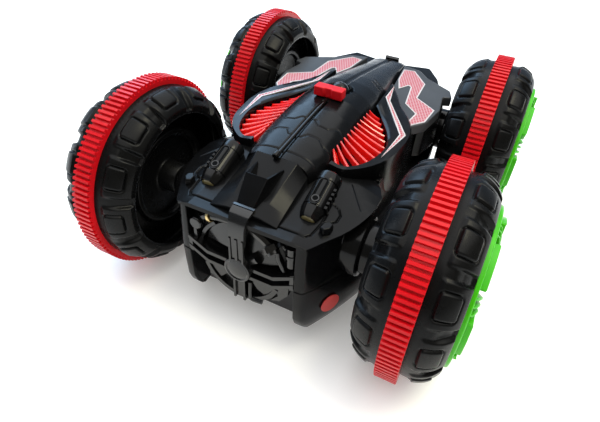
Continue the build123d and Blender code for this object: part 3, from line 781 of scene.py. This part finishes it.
def pod(side):
    part = Solid()
    axis = (POD_FRONT - POD_REAR).normalized()
    up = Vector((0, axis.z, -axis.y)).normalized()
    if up.z < 0:
        up = -up
    out = Vector((1, 0, 0))
    rings = []
    marks = [(0.0, 5.0), (0.6, 5.6), (1.5, 5.8), (5.2, 5.8), (5.4, 5.35), (6.0, 5.35), (6.2, 5.8),
             (19.5, 5.8), (19.8, 5.4),
             (20.2, 5.4), (20.6, 5.7), (24.0, 4.9), (26.0, 4.1), (26.3, 3.7), (25.2, 3.2)]
    sides = 48
    marks = [(a, r + 0.15) for a, r in marks]
    for along, radius in marks:
        centre = POD_REAR + axis * along
        ring = []
        for i in range(sides):
            a = 2 * pi * i / sides
            r = radius
            if along > 20.3:
                facet = (a + pi / 8) % (pi / 4) - pi / 8
                r = radius * cos(pi / 8) / cos(facet) * 1.03
            ring.append(centre + out * r * cos(a) + up * r * sin(a))
        rings.append(ring)
    part.rings(rings)
    return part.mirrored(side), axis, up


for side_name, side in SIDES:
    part, axis, up = pod(side)
    part.object(f"{side_name}_headlamp_pod_moulded", "trim_black", replace=(f"{side_name}_headlamp_pod",),
                smooth=28)
    trim = Solid()
    centre = POD_REAR + axis * 12.6
    top = centre + up * 5.75
    oblong = []
    for i in range(36):
        a = 2 * pi * i / 36
        shift = 5.2 if cos(a) >= 0 else -5.2
        oblong.append((2.5 * sin(a), shift + 2.5 * cos(a)))
    frame_ring = []
    for scale_in, lift in ((1.0, -1.2), (1.0, 0.30), (0.86, 0.30), (0.84, -0.4)):
        ring = []
        for a, b in oblong:
            ring.append(top + Vector((1, 0, 0)) * a * scale_in
                        + axis * (b if scale_in == 1.0 else b * 0.93) + up * lift)
        frame_ring.append(ring)
    trim.rings(frame_ring, loop=True)
    for k in range(5):
        c = POD_REAR + axis * (8.2 + 2.6 * k) + Vector((5.3, 0, 0)) + up * 0.6
        rib = Solid().box((-1.0, 1.0), (-0.75, 0.75), (-2.6, 2.6))
        tilt = Matrix.Rotation(atan2(-axis.z, -axis.y), 4, "X")
        trim.join(rib, Matrix.Translation(c) @ tilt)
    trim.mirrored(side).object(f"{side_name}_pod_trim", "trim_black", bevel=0.12)
    # A matte black sheet sunk in the slot paints the recess's shade.
    slot_shade_sheet = Solid()
    slot_shade_sheet.rings([[top + Vector((1, 0, 0)) * a * 0.87 + axis * b * 0.94 + up * lift for a, b in oblong]
                     for lift in (-0.8, 0.12)])
    slot_shade_sheet.mirrored(side).object(f"{side_name}_pod_slot_shade", "trim_black", mat="painted_shade_black")
    hole = Solid()
    ringsh = []
    for r, lift in ((1.9, -0.6), (1.9, 0.34), (1.35, 0.34), (1.3, -0.5)):
        ringsh.append([top + axis * 4.6 + Vector((1, 0, 0)) * r * cos(2 * pi * i / 28)
                       + axis * r * sin(2 * pi * i / 28)
                       + up * lift for i in range(28)])
    hole.rings(ringsh, loop=True)
    hole.mirrored(side).object(f"{side_name}_pod_eyelet", "trim_black", mat="grille_black")
    # A matte black disc inside the eyelet paints the hole's shade.
    pit = Solid()
    pit.rings([[top + axis * 4.6 + Vector((1, 0, 0)) * r * cos(2 * pi * i / 28)
                + axis * r * sin(2 * pi * i / 28) + up * lift
                for i in range(28)] for r, lift in ((1.37, -0.6), (1.37, 0.24), (0.2, 0.22))])
    pit.mirrored(side).object(f"{side_name}_pod_pit_shade", "trim_black", mat="painted_shade_black")
# Pod tip caps, coloured with lens_amber: their warm gold is a painted reflection, not a lens tint
lenses = Solid()
for side in (1, -1):
    tip = POD_REAR + (POD_FRONT - POD_REAR).normalized() * 25.4
    ax = (POD_FRONT - POD_REAR).normalized()
    upv = Vector((0, -ax.z, ax.y))
    rows = []
    for r, d in ((3.7, -1.2), (3.7, 0.7), (3.1, 1.3), (1.6, 1.7), (0.2, 1.8)):
        rows.append([tip + ax * d + Vector((1, 0,
                                            0)) * r * cos(2 * pi * i / 32) + upv * r * sin(2 * pi * i / 32)
                     for i in range(32)])
    lenses.join(Solid().rings(rows).mirrored(side))
lenses.object("lamp_lenses_moulded", "lens_amber", replace=("lamp_lenses",), smooth=50)

# ---------------------------------------------------------------- windows, radiators and frames

WINDOW = [(22.2, -56.0), (26.5, -56.2), (30.4, -54.6), (34.0, -51.2), (37.2, -45.5), (39.6, -37.5),
          (40.6, -29.0), (39.6, -21.0), (35.5, -10.0), (29.0, 1.5), (24.5, 8.5), (21.5, 12.5)]
FRAME = [(22.0, -59.2), (27.5, -59.0), (32.2, -56.8), (38.0, -51.6), (43.1, -44.3), (46.4, -36.0),
         (48.4, -24.0), (49.0, -12.0), (47.2, 0.0), (41.6, 12.0), (33.6, 24.0), (27.6, 36.0), (20.0, 49.0)]


def frame_top(x, y):
    return 87.0 + 1.5 * smoothstep(31, 21, x) - 0.5 * smoothstep(44, 49, x)


def window_frame(side):
    part = Solid()
    inner = resample(curve_through([(x, y, 0) for x, y in WINDOW], 10), 110)
    outer = resample(curve_through([(x, y, 0) for x, y in FRAME], 10), 110)
    rings = []
    for k, (a, b) in enumerate(zip(inner, outer)):
        t = k / 109
        foot = 53.5 + 23.0 * (1 - smoothstep(0.14, 0.40, t)) + 20.0 * smoothstep(0.78, 0.94, t)
        low = min(foot, 77.0)
        edge = frame_top(b.x, b.y)
        ring = [(a.x, a.y, 79.0), (a.x, a.y, frame_top(a.x, a.y) - 0.6)]
        for share in (0.05, 0.2, 0.4, 0.6, 0.8, 0.94):
            c = a.lerp(b, share)
            ring.append((c.x, c.y, frame_top(c.x, c.y)))
        mid = lerp(edge, low, 0.45)
        ring += [
            (b.x, b.y, edge - 0.9), (b.x + 0.3, b.y, lerp(edge, low, 0.2)), (b.x + 0.2, b.y, mid),
            (b.x - 0.6, b.y, lerp(mid, low, 0.7)), (b.x - 1.6, b.y, low),
            (lerp(b.x, a.x, 0.35) - 1.6, lerp(b.y, a.y, 0.35), low), (lerp(b.x, a.x, 0.35),
                                                                      lerp(b.y, a.y, 0.35), 80.0),
        ]
        rings.append(ring)
    return part.rings(rings).mirrored(side)


def radiator(side):
    part = Solid()
    count = 12
    edge = resample(curve_through([(x, y, 0) for x, y in WINDOW], 10), 200)
    inner_floor = [(20.5, -56.0)] + [(min(x, 40.0), y) for x, y in WINDOW] + [(20.5, 12.0)]
    part.prism(inner_floor, 77.3, 79.2)
    for k in range(count):
        t = (k + 0.5) / count
        p = edge[int(lerp(6, 186, t))]
        root_y = lerp(-50.0, 4.0, t)
        root = Vector((20.5, root_y, 90.6))
        tip = Vector((p.x - 0.3, p.y, 85.2 - 0.6 * sin(pi * t)))
        ahead = (tip - root)
        flat = Vector((ahead.x, ahead.y, 0)).normalized()
        side_way = Vector((-flat.y, flat.x, 0))
        wide = 2.15
        rings = []
        for s in (0.0, 0.25, 0.5, 0.75, 0.93, 1.0):
            c = root.lerp(tip, s)
            sag = 1.3 * sin(pi * s)
            w = wide * (0.75 + 0.35 * s) * (1 if s < 1 else 0.8)
            top = c.z - sag * 0.4
            rings.append([
                (c.x - side_way.x * w, c.y - side_way.y * w, 78.6),
                (c.x - side_way.x * w * 0.9, c.y - side_way.y * w * 0.9, top - 0.5),
                (c.x - side_way.x * w * 0.5, c.y - side_way.y * w * 0.5, top),
                (c.x + side_way.x * w * 0.7, c.y + side_way.y * w * 0.7, top - 3.4),
                (c.x + side_way.x * w * 0.5, c.y + side_way.y * w * 0.5, 78.6)])
        part.rings(rings)
    return part.mirrored(side)


for side_name, side in SIDES:
    window_frame(side).object(f"{side_name}_window_frame_moulded", "hull_black",
                              replace=(f"{side_name}_window_frame",), smooth=42)
    radiator(side).object(f"{side_name}_radiator_moulded", "radiator_red",
                          replace=(f"{side_name}_radiator",), bevel=0.15)

# ---------------------------------------------------------------- rear plates and decals

FENDER = [(20.5, 36), (27, 30), (35, 18), (43.6, 8.4), (51.4, 19.6), (54.6, 40.1), (51.8, 59.4),
          (57.2, 61.7), (53.9, 71.8), (35.3, 84.2), (27, 94.5), (14.5, 98)]
BAND = [(16.3, 89.6), (24.1, 90.7), (36.4, 72.7), (37.5, 49), (51.7, 37.4), (50.4, 19.6), (43.8, 10.6),
        (41.1, 13.4), (42.5, 26.8), (32.9, 37.1), (29.1, 62.8), (27.1, 64.5), (22.6, 56.3), (17.9, 71.3)]
ARROW = [(22.4, 43.6), (26.4, 24.0), (46.6, -10), (42.2, -38.5), (43.4, -11.4), (22.6, 26)]


def rim(outline, inset):
    """The outline drawn in by an inset, point by point."""
    count = len(outline)
    found = []
    for i in range(count):
        a = Vector(outline[i - 1]).to_3d()
        b = Vector(outline[i]).to_3d()
        c = Vector(outline[(i + 1) % count]).to_3d()
        n1 = Vector(((b - a).y, -(b - a).x, 0)).normalized()
        n2 = Vector(((c - b).y, -(c - b).x, 0)).normalized()
        n = (n1 + n2)
        n = n / max(0.35, n.length_squared / 2)
        found.append(((b + n * inset).x, (b + n * inset).y))
    return found


def area(outline):
    return sum(a[0] * b[1] - b[0] * a[1] for a, b in zip(outline, outline[1:] + outline[:1])) / 2


def inset_outline(outline, inset):
    return rim(outline, -inset if area(outline) > 0 else inset)


def sticker(name, outline, height, side):
    def z(x, y, lift):
        return height(x, y) + lift
    border = Solid()
    middle = inset_outline(outline, 0.75)
    rings = []
    for i in range(len(outline)):
        a, b = outline[i], middle[i]
        rings.append([(a[0], a[1], z(*a, -0.5)), (a[0], a[1], z(*a, 0.26)), (b[0], b[1], z(*b, 0.26)),
                      (b[0], b[1], z(*b, -0.5))])
    border.rings(rings, loop=True)
    border.mirrored(side).object(f"{name}_outline", "decal_print", mat="decal_line", smooth=30)
    field = Solid()
    field.rings([[(x, y, z(x, y, -0.5)) for x, y in middle], [(x, y, z(x, y, 0.24)) for x, y in middle]])
    return field.mirrored(side).object(f"{name}_field", "decal_print", smooth=30)


def fender_height(x, y):
    return 82.0 + 0.004 * x


for side_name, side in SIDES:
    plate = Solid()
    dense = resample([(x, y, 0) for x, y in FENDER], 120, closed=True)
    low = [(p.x, p.y, 76.0) for p in dense]
    high = [(p.x, p.y, fender_height(p.x, p.y) - 0.05) for p in dense]
    plate.rings([low, high])
    plate.mirrored(side).object(f"{side_name}_rear_fender_moulded", "fender_grey",
                                replace=(f"{side_name}_rear_fender",), bevel=0.5)
    skirt = Solid()
    outline = [(47.0, 17.0), (51.5, 21.0), (55.2, 40.0), (53.5, 58.0), (52.5, 62.0), (46.0, 66.0)]
    skirt.prism(outline, 58.0, 76.4)
    skirt.mirrored(side).object(f"{side_name}_fender_skirt", "hull_black", bevel=0.8, segments=3)
    sticker(f"{side_name}_fender_decal", BAND, fender_height, side)
    sticker(f"{side_name}_window_decal", ARROW, frame_top, side)
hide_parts("body_decals")

# ---------------------------------------------------------------- grilles


def fan_sector(start, end, flat_z, radius, centre, depth):
    """Part of a shallow dome around the boss, between two angles and above a flat height."""
    part = Solid()
    rings = []
    steps = 26
    for i in range(steps + 1):
        a = radians(lerp(start, end, i / steps))
        inner = max(6.0, (flat_z - centre[1]) / sin(a)) if flat_z else 6.0
        inner = min(inner, radius - 0.4)
        front, back = [], []
        for k in range(9):
            r = lerp(inner, radius, k / 8)
            y = depth - 2.4 * cos(min(1.0, r / radius) * pi / 2)
            front.append((centre[0] + r * cos(a), y, centre[1] + r * sin(a)))
            back.append((centre[0] + r * cos(a), -101.0, centre[1] + r * sin(a)))
        rings.append(front + back[::-1])
    return part.rings(rings)


def arc_band(start, end, low, high, y0, y1, centre):
    part = Solid()
    rings = []
    steps = 30
    for i in range(steps + 1):
        a = radians(lerp(start, end, i / steps))
        rings.append([(centre[0] + r * cos(a), y, centre[1] + r * sin(a)) for r,
                      y in ((low, y0), (high, y0), (high, y1), (low, y1))])
    return part.rings(rings)


def grille_part(lip):
    """Nose grille, drawn at the nose: a round fan behind a strap, a boss and two kinked arms."""
    part = Solid()
    boss = (0.0, 48.5)
    strap = [(0, -101.6, 81.8), (0, -103.4, 81.6), (0, -106.6, 80.0), (0, -108.9, 76.0), (0, -109.5, 69.0),
             (0, -109.3, 55.0)]
    path = curve_through(strap if lip else strap[2:], 8)
    rings = []
    for i, p in enumerate(path):
        t = i / (len(path) - 1)
        half = lerp(5.3, 4.2, smoothstep(0.2, 0.7, t))
        ahead = (path[min(i + 1, len(path) - 1)] - path[max(i - 1, 0)]).normalized()
        out = Vector((0, ahead.z, -ahead.y)).normalized()
        if out.y > 0.2 or (out.z < 0 and abs(out.y) <= 0.2):
            out = -out
        a, b = p + out * 0.2, p - out * 1.8
        rings.append([(half, a.y, a.z), (-half, a.y, a.z), (-half, b.y, b.z), (half, b.y, b.z)])
    part.rings(rings)
    if lip:
        part.box((-5.5, 5.5), (-102.4, -101.0), (80.2, 82.4))
    for x in (-3.9, -0.7, 2.9):
        part.box((x, x + (1.4 if x == -0.7 else 1.0)), (-110.2, -109.0), (54.0, 68.5))
    part.box((-3.4, 3.4), (-107.4, -102.0), (27.0, 45.0))
    for x in (-3.4, 2.2):
        part.box((x, x + 1.2), (-108.6, -107.0), (26.6, 44.0))
    part.lathe([(-102.0, 7.3), (-109.3, 7.3), (-110.1, 7.0), (-110.4, 6.2), (-110.0, 5.5), (-110.4, 4.2),
                (-110.7, 2.4), (-110.7, 0.05), (-102.0, 0.05)], 64, axis="y", centre=(0, 0, boss[1]))
    for side in (1, -1):
        one = Solid()
        for z0, z1, z2 in ((51.0, 51.2, 57.0), (45.0, 45.2, 51.2)):
            arm = [(5.5, z0), (18.2, z1), (29.2, z2), (29.2, z2 - 2.0), (18.8, z1 - 2.1), (5.5, z0 - 2.1)]
            one.prism(arm, -107.9, -103.0, axis="y")
        one.prism([(5.5, 50), (18.4, 50), (29.2, 56), (29.2, 50.4), (18.8, 44.4), (5.5, 44)], -105.0,
                  -101.0, axis="y")
        one.prism([(27.2, 56.4), (29.2, 57.6), (29.2, 47.6), (27.2, 46.6)], -107.6, -101.0, axis="y")
        part.join(one.mirrored(side))
    part.join(fan_sector(102, 163, 55.6, 23.0, boss, -102.6))
    part.join(fan_sector(20, 76, 53.4, 22.0, boss, -102.8))
    part.join(arc_band(128, 170, 23.6, 25.4, -104.4, -101.0, boss))
    part.join(arc_band(198, 342, 19.6, 22.0, -107.0, -103.0, boss))
    lower_fan = [(boss[0] + 20.5 * cos(radians(a)), boss[1] + 20.5 * sin(radians(a))) for a in range(196,
                                                                                                     345, 6)]
    part.prism(lower_fan, -104.4, -101.6, axis="y")
    duct = [(-24.6, -103.4, 64.0), (-22.8, -103.8, 67.6), (-19.0, -104.0, 70.6), (-13.6, -104.2, 72.4),
            (-7.0, -104.2, 73.4), (-2.0, -104.0, 73.6)]
    part.tube(curve_through(duct, 8), 2.0, 16)
    thick = [(2.0, -103.8, 74.0), (7.0, -104.6, 73.2), (12.0, -105.0, 71.2), (16.4, -105.2, 68.0)]
    part.tube(curve_through(thick, 8), 2.6, 8)
    thin = [(4.0, -102.6, 75.4), (12.0, -103.0, 74.6), (18.0, -103.2, 71.6), (22.6, -103.2, 67.6)]
    part.tube(curve_through(thin, 8), 0.9, 10)
    part.tube([(15.6, -105.6, 68.8), (17.6, -106.4, 67.0)], 4.8, 6)
    part.tube([(17.4, -106.4, 67.0), (18.6, -107.0, 65.9)], 3.2, 12)
    part.tube([(20.4, -104.4, 71.6), (21.4, -105.6, 70.4)], 1.7, 8)
    part.tube([(19.0, -104.8, 65.4), (20.0, -105.0, 61.0), (23.0, -104.8, 54.8)], 1.25, 12)
    part.tube([(26.0, -104.0, 71.0), (26.3, -104.2, 59.8)], 2.4, 20)
    part.tube([(26.0, -104.0, 66.6), (26.1, -104.1, 65.4)], 2.9, 20)
    part.tube([(4.0, -104.6, 52.6), (9.6, -105.0, 57.4)], 2.9, 18)
    part.tube(curve_through([(5.2, -106.4, 40.0), (5.4, -106.8, 31.0), (6.6, -107.0, 28.4),
                             (12.2, -106.8, 28.6)], 8), 1.25, 12)
    part.prism([(5.0, 42.4), (19.4, 42.2), (14.4, 33.4), (9.0, 36.4)], -106.2, -103.0, axis="y")
    part.prism([(19.6, 42.4), (26.4, 46.2), (26.2, 41.0), (21.6, 34.6), (17.0, 33.0), (21.0, 38.0)], -106.6,
               -103.0, axis="y")
    part.prism([(-5.0, 42.4), (-18.0, 42.0), (-13.0, 33.6)], -106.2, -103.0, axis="y")
    part.box((-19.4, -15.4), (-105.8, -101.0), (32.6, 38.4))
    part.box((-26.4, -24.8), (-106.4, -101.0), (55.0, 62.4))
    return part


def hex_nut(centre, radius, depth):
    part = Solid()
    x, y, z = centre
    rows = []
    for r, d in ((radius, 0), (radius, depth * 0.8), (radius * 0.84, depth)):
        rows.append([(x + r * cos(pi / 4 * i + 0.3), y - d, z + r * sin(pi / 4 * i + 0.3)) for i in range(8)])
    part.rings(rows)
    return part


def turned(part, end):
    """The nose parts stay; the tail's are turned half round."""
    if end < 0:
        return part
    other = Solid()
    other.verts = [(-x, -y + 8.0, z) for x, y, z in part.verts]
    other.faces = part.faces
    return other


for end_name, end, cad in (("nose", -1, "nose_grille"), ("tail", 1, "tail_grille")):
    turned(grille_part(end < 0), end).object(f"{end_name}_grille_moulded", "trim_black", replace=(cad,),
                                             bevel=0.3, smooth=40,
                                             mat="grille_black")
    nuts = hex_nut((-24.6, -104.6, 65.6), 3.6, 2.8)
    turned(nuts, end).object(f"{end_name}_grille_nut", "trim_black", bevel=0.3, mat="grille_black")
    ring = Solid()
    ring.tube([(-18.2, -104.0, 70.9), (-16.6, -104.1, 71.5)], 3.0, 20)
    turned(ring, end).object(f"{end_name}_brass_ring", "trim_black", mat="brass", bevel=0.3)

# ---------------------------------------------------------------- axle collars

collars = Solid()
collar_profile = [(41.5, 2.55), (41.5, 15.4), (42.2, 16.0), (50.2, 16.0), (51.0, 15.5), (51.2, 13.9),
                  (51.8, 13.5),
                  (56.2, 13.5), (57.0, 12.8), (57.0, 9.0), (56.2, 8.4), (55.4, 8.0), (55.4, 2.55)]
for end_name, end in ENDS:
    for side_name, side in SIDES:
        collars.join(Solid().lathe(collar_profile, 96, centre=(0, end * BASE, WHEEL_Z)).mirrored(side))
collars.object("axle_collars_moulded", "trim_black", replace=("axle_collars",), smooth=30)

# ---------------------------------------------------------------- carried-over nodes

record_slots = {entry["node"]: entry["material_slot"] for entry in frame["record"]["subparts"]}
for name, obj in nodes.items():
    slot = record_slots[name]
    obj.data.materials.clear()
    obj.data.materials.append(mats[slot])
    if name.endswith("tread_ring"):
        add_bevel(obj, 0.22, 2, 25)
    elif not obj.hide_render:
        add_bevel(obj, 0.2, 2, 40)

# ---------------------------------------------------------------- stage, light and camera


def stage():
    size = 6.0
    mesh = bpy.data.meshes.new("floor")
    mesh.from_pydata([(-size, -size, 0), (size, -size, 0), (size, size, 0), (-size, size, 0)], [],
                     [(0, 1, 2, 3)])
    obj = bpy.data.objects.new("floor", mesh)
    bpy.context.scene.collection.objects.link(obj)
    mat = plastic("floor_white", (0.88, 0.88, 0.88), 0.6, vary=0.01, bump=0.02)
    shader = mat.node_tree.nodes["Principled BSDF"]
    shader.inputs["Emission Color"].default_value = (1.0, 0.985, 0.95, 1)
    shader.inputs["Emission Strength"].default_value = 0.22
    mesh.materials.append(mat)
    return obj


def area_light(name, location, target, size, power, color=(1, 1, 1)):
    data = bpy.data.lights.new(name, "AREA")
    data.shape = "RECTANGLE"
    data.size, data.size_y = size
    data.energy = power
    data.color = color
    obj = bpy.data.objects.new(name, data)
    obj.location = location
    obj.rotation_euler = (Vector(target) - Vector(location)).to_track_quat("-Z", "Y").to_euler()
    bpy.context.scene.collection.objects.link(obj)
    return obj


stage()
area_light("window_back", (-1.2, 1.1, 1.15), (0, 0, 0.06), (1.2, 0.9), 21.0, (0.48, 0.72, 1.0))
area_light("ceiling", (0.1, 0.15, 1.9), (0, 0, 0.0), (3.4, 3.4), 84.0, (1.0, 0.99, 0.97))
area_light("overhead_warm", (0.66, 0.12, 1.75), (0, 0, 0.06), (0.7, 0.7), 14.0, (1.0, 0.94, 0.66))
area_light("left_strip", (-1.35, -0.15, 0.55), (0, 0, 0.06), (0.12, 1.1), 4.0, (0.80, 0.90, 1.0))

world = bpy.data.worlds.new("studio")
world.use_nodes = True
sky = world.node_tree
background = sky.nodes["Background"]
background.inputs["Strength"].default_value = 0.42
ray = node(sky, "ShaderNodeTexCoord", -900, 0)
toward = node(sky, "ShaderNodeVectorMath", -700, 0, operation="DOT_PRODUCT")
toward.inputs[1].default_value = (-0.75, 0.60, 0.0)
sky.links.new(ray.outputs["Generated"], toward.inputs[0])
share = node(sky, "ShaderNodeMapRange", -500, 0)
share.inputs["From Min"].default_value = -0.5
share.inputs["From Max"].default_value = 0.7
sky.links.new(toward.outputs["Value"], share.inputs["Value"])
tint = node(sky, "ShaderNodeMix", -300, 0, data_type="RGBA")
tint.inputs["A"].default_value = (0.62, 0.58, 0.48, 1)
tint.inputs["B"].default_value = (0.72, 0.98, 1.35, 1)
sky.links.new(share.outputs["Result"], tint.inputs["Factor"])
sky.links.new(tint.outputs["Result"], background.inputs["Color"])
bpy.context.scene.world = world
bpy.context.scene.view_settings.view_transform = "Standard"

camera_data = bpy.data.cameras.new("camera")
camera_data.lens = 28.34
camera_data.sensor_width = 36.0
camera_data.sensor_fit = "HORIZONTAL"
camera = bpy.data.objects.new("camera", camera_data)
turn = Matrix.Rotation(radians(24.33), 4, "Z") @ Matrix.Rotation(radians(90 - 39.43), 4,
                                                                 "X") @ Matrix.Rotation(radians(3.67), 4, "Z")
camera.matrix_world = Matrix.Translation((0.0904, -0.2406, 0.2164)) @ turn
bpy.context.scene.collection.objects.link(camera)
bpy.context.scene.camera = camera
